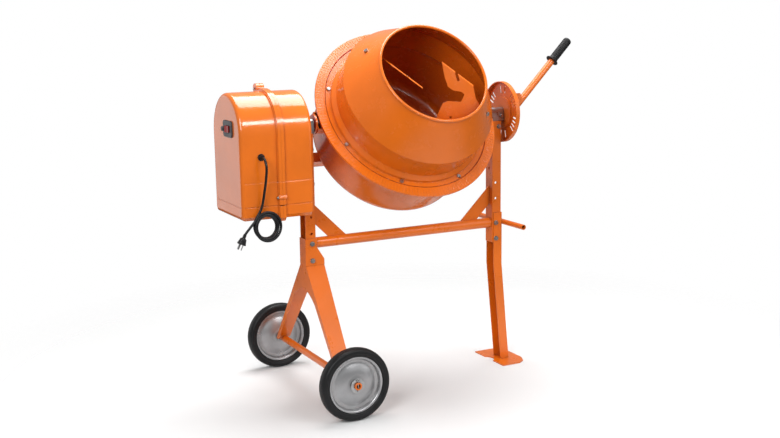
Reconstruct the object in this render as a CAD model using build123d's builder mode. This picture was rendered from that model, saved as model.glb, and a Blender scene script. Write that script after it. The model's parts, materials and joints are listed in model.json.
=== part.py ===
from build123d import *
from math import atan2, cos, pi, radians, sin, sqrt, tan
import os

# Portable electric concrete mixer on a two-wheeled tube stand.
# X runs along the tilt axis (motor housing at -X, tilt lever at +X), the drum mouth faces -Y
# and up, Z is up and the ground is z = 0.  Millimetres.

# ---------------------------------------------------------------- driving dimensions
mid_x = -25.1            # middle of the stand and of the drum
pivot_z = 966.0          # height of the tilt axis
drum_tilt = 37.1         # drum axis above the horizontal at rest

post_reach = 385.5       # middle of the stand to the middle of a post
post_width = 38.0
post_depth = 46.0
post_bottom = 471.0
post_top = 934.0
gauge = 3.0              # sheet steel of the stand
sheet = 2.5              # sheet steel of the drum

axle_x = mid_x - 375.5
axle_z = 125.0
axle_radius = 12.5
axle_bore = 8.0
axle_half = 367.0
wheel_y = 335.0
tyre_radius = 125.0

brace_joint_z = 545.0    # height of the cross tube
running = 0.05           # radial clearance of a running fit
bolt_shank = 4.4         # radii of the stand's bolts and of the holes they pass through
bolt_head = 7.0
bolt_hole = 4.6
housing_bolt_hole = 6.2

module = 3.5
ring_teeth = 186
pinion_teeth = 15
ring_pitch_radius = module * ring_teeth / 2
pinion_pitch_radius = module * pinion_teeth / 2
rack_angle = 20.0

housing_out = mid_x - 673.0
housing_in = mid_x - 415.5
housing_seam = mid_x - 533.5
housing_half = 135.0
housing_bottom = 670.4
housing_top = 1086.3
wall = 3.0

motor_z = 770.0
belt_x = mid_x - 447.5
large_pulley_radius = 98.0
small_pulley_radius = 24.0

disc_x = mid_x + 429.0   # outer face of the index disc
drive_shaft_radius = 9.0
bracket_plate_x = 433.5  # middle of the stand to the lever bracket's base plate
bearing_radius = 28.0    # housing of the drum spindle's bearing
slot_pitch = 21.0        # angle between the two prongs of the latch
cord_diameter = 8.5

pivot = Vector(mid_x, 0, pivot_z)
drum_dir = Vector(0, -cos(radians(drum_tilt)), sin(radians(drum_tilt)))
drum_axis = Axis(pivot, drum_dir)
drum_plane = Plane(origin=pivot, x_dir=(1, 0, 0), z_dir=drum_dir)
drum_profile = Plane(origin=pivot, x_dir=(1, 0, 0), z_dir=-drum_plane.y_dir)

os.makedirs("parts", exist_ok=True)
finished = {}


def keep(name, piece):
    """Remember a finished piece under the name of its node."""
    finished[name] = piece


def across_x(x):
    """A plane square to X, with its x along -Y and its y up; it looks along -X."""
    return Plane(origin=(x, 0, pivot_z), x_dir=(0, -1, 0), z_dir=(-1, 0, 0))


def side_plane(y):
    """A plane square to Y whose x is X and y is Z; it looks along -Y."""
    return Plane(origin=(0, y, 0), x_dir=(1, 0, 0), z_dir=(0, -1, 0))


def polar(radius, angle):
    return (radius * cos(radians(angle)), radius * sin(radians(angle)))


# ---------------------------------------------------------------- posts, cross tube, braces
spare_holes = (582.5, 641.0, 701.0)
frame_bolt_heights = (547.0, 486.5)
flange_hole_x = 381.5
post_bolt_x = 394.5
post_bolt_z = 914.0
housing_bolt_heights = (756.0, 876.0)


def post(side):
    """Folded channel; side is -1 for the housing end and 1 for the lever end."""
    centre = mid_x + side * post_reach
    with BuildPart() as channel:
        with BuildSketch(Plane.XY.offset(post_bottom)):
            with Locations((centre, 0)):
                Rectangle(post_width, post_depth)
            with Locations((centre + side * gauge, 0)):
                Rectangle(post_width, post_depth - 2 * gauge, mode=Mode.SUBTRACT)
        extrude(amount=post_top - post_bottom)
        hole_sites = [(mid_x + side * flange_hole_x, z) for z in spare_holes + frame_bolt_heights]
        hole_sites.append((mid_x + side * post_bolt_x, post_bolt_z))
        with BuildSketch(side_plane(0)):
            with Locations(hole_sites):
                Circle(bolt_hole)
        extrude(amount=post_depth, both=True, mode=Mode.SUBTRACT)
        with BuildSketch(Plane.YZ.offset(centre)):
            with Locations([(0, z) for z in housing_bolt_heights]):
                Circle(housing_bolt_hole)
        extrude(amount=post_width, both=True, mode=Mode.SUBTRACT)
    return channel


keep("left_post", post(-1))
keep("right_post", post(1))

web_inside = post_reach - post_width / 2      # from the middle to the posts' inner webs
with BuildPart() as cross_tube:
    with BuildSketch(Plane.YZ.offset(mid_x - web_inside)):
        with Locations((0, brace_joint_z)):
            Circle(19)
            Circle(16, mode=Mode.SUBTRACT)
    extrude(amount=2 * web_inside)
keep("cross_tube", cross_tube)

with BuildPart() as braces:
    for side in (-1, 1):
        with BuildSketch(side_plane(0)):
            with BuildLine():
                Polyline(
                    (mid_x + side * web_inside, 688),
                    (mid_x + side * web_inside, 620),
                    (mid_x + side * 310, brace_joint_z + 18.8),
                    (mid_x + side * 240, brace_joint_z + 18.8),
                    close=True,
                )
            make_face()
        extrude(amount=2.5, both=True)
keep("braces", braces)

# ---------------------------------------------------------------- wheel legs and axle
bend_z = 470.5
leg_foot_z = 130.0
leg_slope = 0.76          # outward run of a wheel leg for each millimetre down
leg_bend_y = 23.2
leg_left = mid_x - 407.5
leg_right = mid_x - 336.5
leg_top = 565.0
arch_top = 388.0


def leg_y(z, inward):
    """Distance from the middle plane to a wheel leg's outer face, moved inward."""
    return leg_bend_y + leg_slope * (bend_z - z) - inward * sqrt(1 + leg_slope ** 2)


def wheel_leg(side):
    """Pressed leg from the left post to the axle; side is -1 at the front."""
    with BuildPart() as shell:
        with BuildSketch(Plane.YZ.offset(leg_left)):
            with BuildLine():
                Polyline(
                    (side * leg_y(bend_z, 0), bend_z),
                    (side * leg_y(leg_foot_z, 0), leg_foot_z),
                    (side * leg_y(leg_foot_z, 14), leg_foot_z),
                    (side * leg_y(440, 26), 440),
                    (side * leg_y(bend_z, 6), bend_z),
                    close=True,
                )
            make_face()
        extrude(amount=leg_right - leg_left)
        with BuildSketch(Plane.YZ.offset(leg_left + gauge)):
            with BuildLine():
                Polyline(
                    (side * leg_y(bend_z + 9, gauge), bend_z + 9),
                    (side * leg_y(leg_foot_z - 9, gauge), leg_foot_z - 9),
                    (side * leg_y(leg_foot_z - 9, 40), leg_foot_z - 9),
                    (side * leg_y(bend_z + 9, 40), bend_z + 9),
                    close=True,
                )
            make_face()
        extrude(amount=leg_right - leg_left - 2 * gauge, mode=Mode.SUBTRACT)
        with BuildSketch(side_plane(0)):
            Polygon(
                (leg_right + 1, bend_z + 1), (leg_right + 1, leg_foot_z - 1),
                (leg_right - 17, leg_foot_z - 1), (leg_right, bend_z + 1), align=None,
            )
        extrude(amount=400, both=True, mode=Mode.SUBTRACT)
        with BuildSketch(Plane.YZ.offset(leg_left)):
            with BuildLine():
                edge = Polyline(
                    (side * 0.2, arch_top),
                    (side * 0.2, leg_top),
                    (side * 26, leg_top),
                    (side * 26, bend_z),
                    (side * leg_y(bend_z, 0), bend_z),
                    (side * leg_y(330, 0), 330),
                    (side * leg_y(330, 19), 330),
                )
                ThreePointArc(edge @ 1, (side * 55, 368), edge @ 0)
            make_face()
        extrude(amount=gauge)
        with BuildSketch(side_plane(side * 26)):
            with BuildLine():
                Polyline(
                    (leg_left, leg_top), (leg_left, bend_z - 1), (leg_right, bend_z - 1),
                    (leg_right, 490), (mid_x - 364.5, 535), (mid_x - 364.5, leg_top), close=True,
                )
            make_face()
            with Locations([(mid_x - flange_hole_x, z) for z in frame_bolt_heights]):
                Circle(5.0, mode=Mode.SUBTRACT)
        extrude(amount=side * gauge)
        with BuildSketch(Plane.XZ):
            with Locations((axle_x, axle_z)):
                Circle(axle_radius)
        extrude(amount=400, both=True, mode=Mode.SUBTRACT)
    return shell


keep("front_wheel_leg", wheel_leg(-1))
keep("rear_wheel_leg", wheel_leg(1))

with BuildPart() as axle:
    with BuildSketch(Plane.XZ):
        with Locations((axle_x, axle_z)):
            Circle(axle_radius)
            Circle(axle_bore, mode=Mode.SUBTRACT)
    extrude(amount=axle_half, both=True)
    with BuildSketch(Plane.XY.offset(axle_z)):
        with Locations((axle_x, axle_half - 4.0), (axle_x, 4.0 - axle_half)):
            Circle(2.1)
    extrude(amount=20, both=True, mode=Mode.SUBTRACT)
keep("axle", axle)


def axle_rings(radius, inner_y, width):
    """The same ring at both ends of the axle, its inner face at +-inner_y."""
    with BuildPart() as rings:
        for side in (-1, 1):
            with BuildSketch(Plane.XZ.offset(-side * inner_y)):
                with Locations((axle_x, axle_z)):
                    Circle(radius)
                    Circle(axle_radius, mode=Mode.SUBTRACT)
            extrude(amount=-side * width)
    return rings


with BuildPart() as axle_washers:
    add(axle_rings(25, 359.0, 2).part)
    add(axle_rings(19, 305.0, 5.5).part)
keep("axle_washers", axle_washers)

with BuildPart() as split_pins:
    for side in (-1, 1):
        pin_y = side * (axle_half - 4.0)
        with BuildSketch(Plane.XY.offset(axle_z - 20)):
            with Locations((axle_x, pin_y)):
                Circle(2.0)
        extrude(amount=38)
        with BuildSketch(Plane.XZ.offset(-pin_y)):
            with Locations((axle_x, axle_z + 20.5)):
                Circle(4.5)
                Circle(2.2, mode=Mode.SUBTRACT)
        extrude(amount=1.5, both=True)
keep("split_pins", split_pins)

# ---------------------------------------------------------------- wheels
for name, side in (("front", -1), ("rear", 1)):
    wheel_plane = Plane(origin=(axle_x, side * wheel_y, axle_z), x_dir=(1, 0, 0), z_dir=(0, 0, 1))
    wheel_axis = Axis((axle_x, side * wheel_y, axle_z), (0, 1, 0))
    with BuildPart() as tyre:
        with BuildSketch(wheel_plane):
            with BuildLine():
                outline = Polyline(
                    (118, -21.5), (108, -22), (98.5, -17.5), (97.4, -13.4), (91.6, -11.5),
                    (89.3, -2), (89.3, 2), (91.6, 11.5), (97.4, 13.4), (98.5, 17.5),
                    (108, 22), (118, 21.5),
                )
                ThreePointArc(outline @ 1, (tyre_radius, 0), outline @ 0)
            make_face()
        revolve(axis=wheel_axis)
    keep(f"{name}_tyre", tyre)

    with BuildPart() as wheel_disc:
        for half in (-1, 1):
            with BuildSketch(wheel_plane):
                Polygon(
                    (17, half * 17.5), (40, half * 15.5), (60, half * 9), (72, half * 2.2),
                    (86.3, half * 2.2), (89.5, half * 13.5), (97, half * 15.5), (97, half * 13.6),
                    (91.2, half * 11.6), (88.4, half * 0.1), (71, half * 0.1), (59, half * 7),
                    (39.5, half * 13.4), (17, half * 15.4), align=None,
                )
            revolve(axis=wheel_axis)
        with BuildSketch(wheel_plane):
            Polygon((axle_radius + running, -23.5), (17, -23.5), (17, 23.5),
                    (axle_radius + running, 23.5), align=None)
        revolve(axis=wheel_axis)
    keep(f"{name}_wheel_disc", wheel_disc)

# ---------------------------------------------------------------- right leg, foot, carry bar
knee_z = 386.0
foot_thickness = 4.0
leg_out = mid_x + 407.5
foot_kick = 34.0

with BuildPart() as right_leg:
    with BuildSketch(side_plane(0)):
        Polygon(
            (leg_out - 36, 586), (leg_out, 586), (leg_out, knee_z),
            (leg_out + foot_kick, foot_thickness), (leg_out + foot_kick - 36, foot_thickness),
            (leg_out - 36, knee_z), align=None,
        )
    extrude(amount=26, both=True)
    with BuildSketch(side_plane(0)):
        Polygon(
            (leg_out - 40, 590), (leg_out - gauge, 590), (leg_out - gauge, knee_z),
            (leg_out + foot_kick - gauge, foot_thickness),
            (leg_out + foot_kick - 40, foot_thickness), (leg_out - 40, knee_z), align=None,
        )
    extrude(amount=23, both=True, mode=Mode.SUBTRACT)
    with BuildSketch(side_plane(0)):
        with Locations([(mid_x + flange_hole_x, z) for z in frame_bolt_heights]):
            Circle(5.0)
    extrude(amount=40, both=True, mode=Mode.SUBTRACT)
keep("right_leg", right_leg)

foot_x = mid_x + 367.5
with BuildPart() as foot_plate:
    with BuildSketch(Plane.XY):
        with BuildLine():
            rim = Polyline(
                (foot_x, 30), (foot_x, 102), (foot_x + 77, 102), (foot_x + 102, 86),
                (foot_x + 119, 50), (foot_x + 119, -50), (foot_x + 102, -86),
                (foot_x + 77, -102), (foot_x, -102), (foot_x, -30),
            )
            ThreePointArc(rim @ 1, (foot_x + 18, 0), rim @ 0)
        make_face()
    extrude(amount=foot_thickness)
keep("foot_plate", foot_plate)

with BuildPart() as carry_bar:
    with BuildSketch(Plane.XZ):
        with Locations((leg_out + 9.8, 547)):
            Circle(10)
            Circle(7.5, mode=Mode.SUBTRACT)
    extrude(amount=160, both=True)
keep("carry_bar", carry_bar)


def cross_bolt(x, z, half_grip, shank, head):
    """Hexagon bolt along Y through both flanges, with its nut and washers."""
    with BuildPart() as bolt:
        with BuildSketch(Plane.XZ):
            with Locations((x, z)):
                Circle(shank)
        extrude(amount=half_grip + 6, both=True)
        for side in (-1, 1):
            with BuildSketch(Plane.XZ.offset(side * half_grip)):
                with Locations((x, z)):
                    Circle(head * 1.25)
            extrude(amount=side * 1.5)
            with BuildSketch(Plane.XZ.offset(side * (half_grip + 1.5))):
                with Locations((x, z)):
                    RegularPolygon(head, 6)
            extrude(amount=side * 6)
    return bolt.part


with BuildPart() as frame_bolts:
    for side in (-1, 1):
        for height in frame_bolt_heights:
            add(cross_bolt(mid_x + side * flange_hole_x, height, post_depth / 2 + gauge,
                           bolt_shank, bolt_head))
    for height in housing_bolt_heights:
        with BuildSketch(Plane.YZ.offset(mid_x - 424)):
            with Locations((0, height)):
                Circle(6)
        extrude(amount=424 - 359)
        with BuildSketch(Plane.YZ.offset(mid_x - web_inside)):
            with Locations((0, height)):
                Circle(14)
        extrude(amount=2)
        for nut_x in (-web_inside + 2, -428.5):
            with BuildSketch(Plane.YZ.offset(mid_x + nut_x)):
                with Locations((0, height)):
                    RegularPolygon(9.5, 6)
            extrude(amount=6)
keep("frame_bolts", frame_bolts)

# ---------------------------------------------------------------- pivot bearing brackets
bracket_in = 359.5
bracket_out = 419.5
sleeve_end = 421.0
trunnion_radius = 13.0
bush_radius = 15.0
sleeve_radius = 18.0


def bearing_bracket(side):
    """Two cheeks tucked inside a post, joined by the sleeve of the tilt bearing."""
    outer = bracket_out if side > 0 else 403.0
    with BuildPart() as bracket:
        with BuildSketch(side_plane(0)):
            Polygon(
                (mid_x + side * bracket_in, post_top), (mid_x + side * bracket_in, 977),
                (mid_x + side * (outer - 11), 977), (mid_x + side * outer, 966),
                (mid_x + side * outer, post_top), align=None,
            )
            with Locations((mid_x + side * 386.5, 909.5)):
                Rectangle(33, 50)
            with Locations((mid_x + side * post_bolt_x, post_bolt_z)):
                Circle(bolt_hole, mode=Mode.SUBTRACT)
        extrude(amount=20, both=True)
        with BuildSketch(side_plane(0)):
            with Locations((mid_x, 930)):
                Rectangle(1000, 120)
        extrude(amount=17, both=True, mode=Mode.SUBTRACT)
        with BuildSketch(Plane.YZ.offset(mid_x + side * bracket_in)):
            with Locations((0, pivot_z)):
                Circle(sleeve_radius)
        extrude(amount=side * (sleeve_end - bracket_in))
        with BuildSketch(Plane.YZ.offset(mid_x + side * bracket_in)):
            with Locations((0, pivot_z)):
                Circle(bush_radius)
        extrude(amount=side * (sleeve_end - bracket_in), mode=Mode.SUBTRACT)
    return bracket


keep("left_bearing_bracket", bearing_bracket(-1))
keep("right_bearing_bracket", bearing_bracket(1))

with BuildPart() as pivot_bushings:
    for side in (-1, 1):
        with BuildSketch(Plane.YZ.offset(mid_x + side * bracket_in)):
            with Locations((0, pivot_z)):
                Circle(bush_radius)
                Circle(trunnion_radius + running, mode=Mode.SUBTRACT)
        extrude(amount=side * (sleeve_end - bracket_in))
keep("pivot_bushings", pivot_bushings)

with BuildPart() as bracket_bolts:
    for side in (-1, 1):
        add(cross_bolt(mid_x + side * post_bolt_x, post_bolt_z, post_depth / 2, bolt_shank, bolt_head))
    for side in (-1, 1):
        with BuildSketch(Plane.XZ.offset(side * 20.0)):
            with Locations((mid_x + 408.5, 956)):
                RegularPolygon(6.5, 6)
        extrude(amount=side * 5)
keep("bracket_bolts", bracket_bolts)

# ---------------------------------------------------------------- index disc
slot_angles = (-98.5, -77.5, -44.5, -34, -23.5, -13, 24, 35, 46, 79.5, 100.5, 135, 145.5, 156)
slot_inner = 71.0
slot_outer = 98.0
slot_width = 6.5
disc_radius = 114.0

with BuildPart() as index_disc:
    with BuildSketch(across_x(disc_x)):
        Circle(disc_radius)
    extrude(amount=16.5)
    with BuildSketch(across_x(disc_x - gauge)):
        Circle(disc_radius - gauge)
    extrude(amount=20, mode=Mode.SUBTRACT)
    with BuildSketch(across_x(disc_x - gauge)):
        Circle(60)
    extrude(amount=5, taper=20)
    with BuildSketch(across_x(disc_x)):
        Circle(56)
    extrude(amount=5, taper=20, mode=Mode.SUBTRACT)
    with BuildSketch(across_x(disc_x)):
        for angle in slot_angles:
            with Locations(polar((slot_inner + slot_outer) / 2, angle)):
                Rectangle(slot_outer - slot_inner, slot_width, rotation=angle)
    extrude(amount=8, mode=Mode.SUBTRACT)
    with BuildSketch(across_x(disc_x)):
        Circle(trunnion_radius + 1.5)
    extrude(amount=20, mode=Mode.SUBTRACT)
keep("index_disc", index_disc)

# ---------------------------------------------------------------- drum
mouth_radius = 195.5
mouth_s = 289.0
base_radius = 250.0       # flat disc welded into the bottom shell
base_outside = -188.0
base_thickness = 2.6
ring_bolt_circle = 298.6
ring_bolt_count = 8
ring_bolt_start = 22.5    # angle of the first ring bolt round the drum axis
ring_bolt_hole = 3.6
blade_turn = -48.8        # direction of a blade's outer edge round the drum axis
blade_offset = 14.0       # the blade stands this far beside its bolt
blade_bolt_turn = 12.5    # angle from the blade's direction to its bolt
blade_bolt_s = 222.0
blade_bolt_radius = 234.6
cone_slope = atan2(282 - mouth_radius, mouth_s - 5 - 152)


def blade_bolt_plane(turn):
    """A plane on the cone at a blade's bolt, looking square out of the sheet."""
    turn = radians(turn + blade_bolt_turn)
    out = drum_plane.x_dir * cos(turn) + drum_plane.y_dir * sin(turn)
    return Plane(
        origin=pivot + drum_dir * blade_bolt_s + out * blade_bolt_radius,
        z_dir=out * cos(cone_slope) + drum_dir * sin(cone_slope),
    )


with BuildPart() as drum_base:
    with BuildSketch(drum_plane.offset(base_outside)):
        Circle(base_radius)
    extrude(amount=base_thickness)
keep("drum_base", drum_base)

base_inside = base_outside + base_thickness
with BuildPart() as drum_bottom:
    with BuildSketch(drum_profile):
        with BuildLine():
            Polyline((base_radius, base_inside), (base_radius, base_outside), (258, base_outside))
            RadiusArc((258, base_outside), (293, -153), -35)
            Polyline((293, -153), (290, 27.6), (306.5, 27.6), (306.5, 30.4), (287.4, 30.4),
                     (290.4, -153))
            RadiusArc((290.4, -153), (258, base_inside), 32.5)
            Line((258, base_inside), (base_radius, base_inside))
        make_face()
    revolve(axis=drum_axis)
    with BuildSketch(drum_plane.offset(25)):
        with PolarLocations(ring_bolt_circle, ring_bolt_count, start_angle=ring_bolt_start):
            Circle(ring_bolt_hole)
    extrude(amount=10, mode=Mode.SUBTRACT)
keep("drum_bottom", drum_bottom)

with BuildPart() as drum_top:
    with BuildSketch(drum_profile):
        with BuildLine():
            Polyline(
                (306.5, 33.8), (306.5, 36.6), (290.0, 36.6), (288.4, 45), (276, 60), (278, 120),
                (282, 152), (mouth_radius, mouth_s - 5), (mouth_radius, mouth_s),
                (mouth_radius - 3, mouth_s), (mouth_radius - 3, mouth_s - 7),
                (279.2, 150.5), (275.5, 120.4), (273.4, 59.4), (285.8, 44.2), (287.4, 33.8),
                close=True,
            )
        make_face()
    revolve(axis=drum_axis)
    with BuildSketch(drum_profile):
        with Locations((mouth_radius, mouth_s - 5)):
            Circle(5)
    revolve(axis=drum_axis)
    with BuildSketch(drum_plane.offset(30)):
        with PolarLocations(ring_bolt_circle, ring_bolt_count, start_angle=ring_bolt_start):
            Circle(ring_bolt_hole)
    extrude(amount=10, mode=Mode.SUBTRACT)
    for turn in (blade_turn, blade_turn + 180):
        with BuildSketch(blade_bolt_plane(turn).offset(-6)):
            Circle(4.1)
        extrude(amount=16, mode=Mode.SUBTRACT)
keep("drum_top", drum_top)

# Crown gear: the teeth stand on the back of the ring and point towards the drum's base.
ring_outer = 345.6
tooth_inner = 308.0
root_s = 30.4
tooth_root_width = 7.0
tooth_depth = 7.6

with BuildPart() as ring_gear:
    with BuildSketch(drum_profile):
        Polygon((287.6, root_s), (ring_outer, root_s), (ring_outer, 38), (311, 38), (308.5, 33.8),
                (287.6, 33.8), align=None)
    revolve(axis=drum_axis)
    with BuildSketch(drum_plane.offset(root_s)):
        with PolarLocations((tooth_inner + ring_outer) / 2, ring_teeth,
                            start_angle=180 + 180 / ring_teeth):
            Rectangle(ring_outer - tooth_inner, tooth_root_width)
    extrude(amount=-tooth_depth, taper=rack_angle)
    with BuildSketch(drum_plane.offset(28)):
        with PolarLocations(ring_bolt_circle, ring_bolt_count, start_angle=ring_bolt_start):
            Circle(ring_bolt_hole)
    extrude(amount=10, mode=Mode.SUBTRACT)
keep("ring_gear", ring_gear)

with BuildPart() as ring_bolts:
    with BuildSketch(drum_plane.offset(26.1)):
        with PolarLocations(ring_bolt_circle, ring_bolt_count, start_angle=ring_bolt_start):
            Circle(3.5)
    extrude(amount=13.5)
    for face_s, height in ((36.6, 5.0), (27.6, -5.0)):
        with BuildSketch(drum_plane.offset(face_s)):
            with PolarLocations(ring_bolt_circle, ring_bolt_count, start_angle=ring_bolt_start):
                RegularPolygon(6.8, 6)
        extrude(amount=height)
keep("ring_bolts", ring_bolts)

# ---------------------------------------------------------------- mixing blades
# Each blade is a flat plate turned out of the axial plane; its outline is drawn in that plane,
# x outwards from the drum axis and y up the slope towards the mouth.
blade_lean = 42.1         # slope of the plate out of the axial plane
blade_mid_s = 166.0
blade_thickness = 4.0


def inside_drum():
    """The drum's inner space, a sheet's clearance smaller; it trims the blades."""
    with BuildPart() as space:
        with BuildSketch(drum_profile):
            Polygon((0, -180), (262, -180), (286, -152), (285, 30), (285, 44), (272.6, 59),
                    (274.6, 121), (278.4, 150), (200, 270), (0, 270), align=None)
        revolve(axis=drum_axis)
    return space.part


def mixing_blade(turn):
    outward = drum_plane.x_dir * cos(radians(turn)) + drum_plane.y_dir * sin(radians(turn))
    across = drum_dir.cross(outward)
    uphill = drum_dir * cos(radians(blade_lean)) + across * sin(radians(blade_lean))
    plate_plane = Plane(
        origin=pivot + drum_dir * blade_mid_s, x_dir=outward, z_dir=outward.cross(uphill),
    ).offset(blade_offset)
    with BuildPart() as blade:
        with BuildSketch(plate_plane):
            with BuildLine():
                FilletPolyline(
                    (-19, 144), (90, 163), (125, 135), (166, 98), (190, 88), (300, 60),
                    (300, -160), (215, -160), (94, -31), (85, 16), (94, 32), (133, 58),
                    (127, 85), (113, 86), (88, 73), (66, 72), (35, 93), close=True, radius=4,
                )
            make_face()
            with Locations((70, 120)):
                SlotOverall(34, 9, rotation=-38, mode=Mode.SUBTRACT)
            with Locations((136, -7)):
                Circle(4, mode=Mode.SUBTRACT)
        extrude(amount=blade_thickness / 2, both=True)
        with BuildSketch(blade_bolt_plane(turn).offset(-5)):
            with BuildLine():
                FilletPolyline((-22, -22), (22, -22), (22, 22), (-22, 22), close=True, radius=8)
            make_face()
        extrude(amount=4)
        with BuildSketch(blade_bolt_plane(turn).offset(-8)):
            Circle(4.1)
        extrude(amount=12, mode=Mode.SUBTRACT)
        add(inside_drum(), mode=Mode.INTERSECT)
    return blade


for name, turn in (("front", blade_turn), ("rear", blade_turn + 180)):
    keep(f"{name}_mixing_blade", mixing_blade(turn))

with BuildPart() as blade_bolts:
    for turn in (blade_turn, blade_turn + 180):
        face = blade_bolt_plane(turn)
        with BuildSketch(face.offset(2)):
            RegularPolygon(8, 6)
        extrude(amount=6)
        with BuildSketch(face.offset(-14)):
            Circle(4)
        extrude(amount=16)
        with BuildSketch(face.offset(-6)):
            RegularPolygon(8, 6)
        extrude(amount=-6)
keep("blade_bolts", blade_bolts)

# ---------------------------------------------------------------- yoke, spindle and its bearing
arm_in = 350.0
arm_out = 357.0
bar_near = -240.0
bar_far = -276.0
spindle_radius = 15.0

with BuildPart() as yoke:
    for side in (-1, 1):
        with BuildSketch(Plane(origin=(mid_x + side * arm_in, 0, pivot_z),
                               x_dir=drum_plane.y_dir, z_dir=(1, 0, 0))):
            with BuildLine():
                arm = Polyline((-32, 0), (-32, -20), (-20, bar_near + 20), (-20, bar_far),
                               (20, bar_far), (20, bar_near + 20), (32, -20), (32, 0))
                ThreePointArc(arm @ 1, (0, 32), arm @ 0)
            make_face()
        extrude(amount=side * (arm_out - arm_in))
    with BuildSketch(Plane.YZ.offset(mid_x - arm_out)):
        with Locations((0, pivot_z)):
            Circle(trunnion_radius)
    extrude(amount=-(423 - arm_out))
    with BuildSketch(Plane.YZ.offset(mid_x - arm_in)):
        with Locations((0, pivot_z)):
            Circle(drive_shaft_radius + running)
    extrude(amount=-90, mode=Mode.SUBTRACT)
    with BuildSketch(Plane.YZ.offset(mid_x + arm_out)):
        with Locations((0, pivot_z)):
            Circle(trunnion_radius)
    extrude(amount=bracket_plate_x - arm_out)
    with BuildSketch(drum_plane.offset(bar_far)):
        Rectangle(2 * arm_in, 40)
    extrude(amount=bar_near - bar_far)
    with BuildSketch(Plane(origin=(mid_x - arm_in, 0, pivot_z), x_dir=drum_plane.y_dir,
                           z_dir=(1, 0, 0))):
        with Locations((0, (bar_near + bar_far) / 2)):
            Rectangle(34, bar_near - bar_far - 6)
    extrude(amount=2 * arm_in, mode=Mode.SUBTRACT)
    with BuildSketch(drum_plane.offset(bar_far)):
        Circle(bearing_radius + 8)
    extrude(amount=bar_near - bar_far)
    with BuildSketch(drum_plane.offset(bar_far)):
        Circle(bearing_radius)
    extrude(amount=bar_near - bar_far, mode=Mode.SUBTRACT)
keep("yoke", yoke)

with BuildPart() as spindle_bearing:
    with BuildSketch(drum_plane.offset(bar_far - 6)):
        Circle(bearing_radius)
    extrude(amount=bar_near - bar_far + 12)
    with BuildSketch(drum_plane.offset(bar_near)):
        Circle(42)
    extrude(amount=6)
    with BuildSketch(drum_plane.offset(bar_far - 6)):
        Circle(spindle_radius + running)
    extrude(amount=60, mode=Mode.SUBTRACT)
keep("spindle_bearing", spindle_bearing)

with BuildPart() as drum_spindle:
    with BuildSketch(drum_plane.offset(-302)):
        Circle(spindle_radius)
    extrude(amount=110)
    with BuildSketch(drum_plane.offset(-233)):
        Circle(20)
    extrude(amount=38)
    with BuildSketch(drum_plane.offset(-196)):
        Circle(60)
    extrude(amount=8)
    with BuildSketch(drum_plane.offset(-204)):
        with PolarLocations(46, 6):
            RegularPolygon(8, 6)
    extrude(amount=9)
keep("drum_spindle", drum_spindle)

with BuildPart() as spindle_nut:
    with BuildSketch(drum_plane.offset(-283)):
        Circle(26)
        Circle(spindle_radius, mode=Mode.SUBTRACT)
    extrude(amount=-3)
    with BuildSketch(drum_plane.offset(-286)):
        RegularPolygon(24, 6)
        Circle(spindle_radius, mode=Mode.SUBTRACT)
    extrude(amount=-14)
keep("spindle_nut", spindle_nut)

# ---------------------------------------------------------------- drive: pinion, shaft, pulleys
pinion_mid = ring_pitch_radius
pinion_width = 20.0
pinion_root = pinion_pitch_radius - 1.25 * module
pinion_tip = pinion_pitch_radius + module

with BuildPart() as pinion:
    with BuildSketch(Plane(origin=(mid_x - pinion_mid - pinion_width / 2, 0, pivot_z),
                           x_dir=drum_dir, z_dir=(1, 0, 0))):
        Circle(pinion_root)
        with PolarLocations(0, pinion_teeth):
            with BuildLine():
                Polyline(
                    (pinion_root - 2, -4.2), (pinion_root - 2, 4.2), (pinion_root + 1, 3.6),
                    (pinion_pitch_radius, 2.45), (pinion_tip, 1.0), (pinion_tip, -1.0),
                    (pinion_pitch_radius, -2.45), (pinion_root + 1, -3.6), close=True,
                )
            make_face()
        Circle(drive_shaft_radius, mode=Mode.SUBTRACT)
    extrude(amount=pinion_width)
keep("pinion", pinion)

with BuildPart() as drive_shaft:
    with BuildSketch(Plane.YZ.offset(mid_x - 461)):
        with Locations((0, pivot_z)):
            Circle(drive_shaft_radius)
    extrude(amount=461 - pinion_mid + pinion_width / 2 + 2)
keep("drive_shaft", drive_shaft)


def pulley(x, z, radius, hub, bore, width, web):
    """Single-groove belt wheel; web is the thickness of its disc."""
    with BuildPart() as wheel:
        with BuildSketch(Plane.YZ.offset(x)):
            with Locations((0, z)):
                Circle(radius)
        extrude(amount=8, both=True)
        with BuildSketch(Plane.YZ.offset(x)):
            with Locations((0, z)):
                Circle(radius + 5)
                Circle(radius - 7, mode=Mode.SUBTRACT)
        extrude(amount=5.3, both=True, mode=Mode.SUBTRACT)
        if web < 16:
            for side in (-1, 1):
                with BuildSketch(Plane.YZ.offset(x + side * web / 2)):
                    with Locations((0, z)):
                        Circle(radius - 13)
                extrude(amount=side * 10, mode=Mode.SUBTRACT)
        with BuildSketch(Plane.YZ.offset(x)):
            with Locations((0, z)):
                Circle(hub)
        extrude(amount=width / 2, both=True)
        with BuildSketch(Plane.YZ.offset(x)):
            with Locations((0, z)):
                Circle(bore)
        extrude(amount=40, both=True, mode=Mode.SUBTRACT)
    return wheel


keep("large_pulley", pulley(belt_x, pivot_z, large_pulley_radius, 20, drive_shaft_radius, 24, 5))

motor_shaft_radius = 8.0
small_wheel = pulley(belt_x, motor_z, small_pulley_radius, 15, motor_shaft_radius, 20, 16)
with BuildPart() as motor_pulley:
    add(small_wheel.part)
    with BuildSketch(Plane.YZ.offset(belt_x + 11)):
        with Locations((0, motor_z)):
            Circle(motor_shaft_radius)
    extrude(amount=-70)
keep("motor_pulley", motor_pulley)

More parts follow.
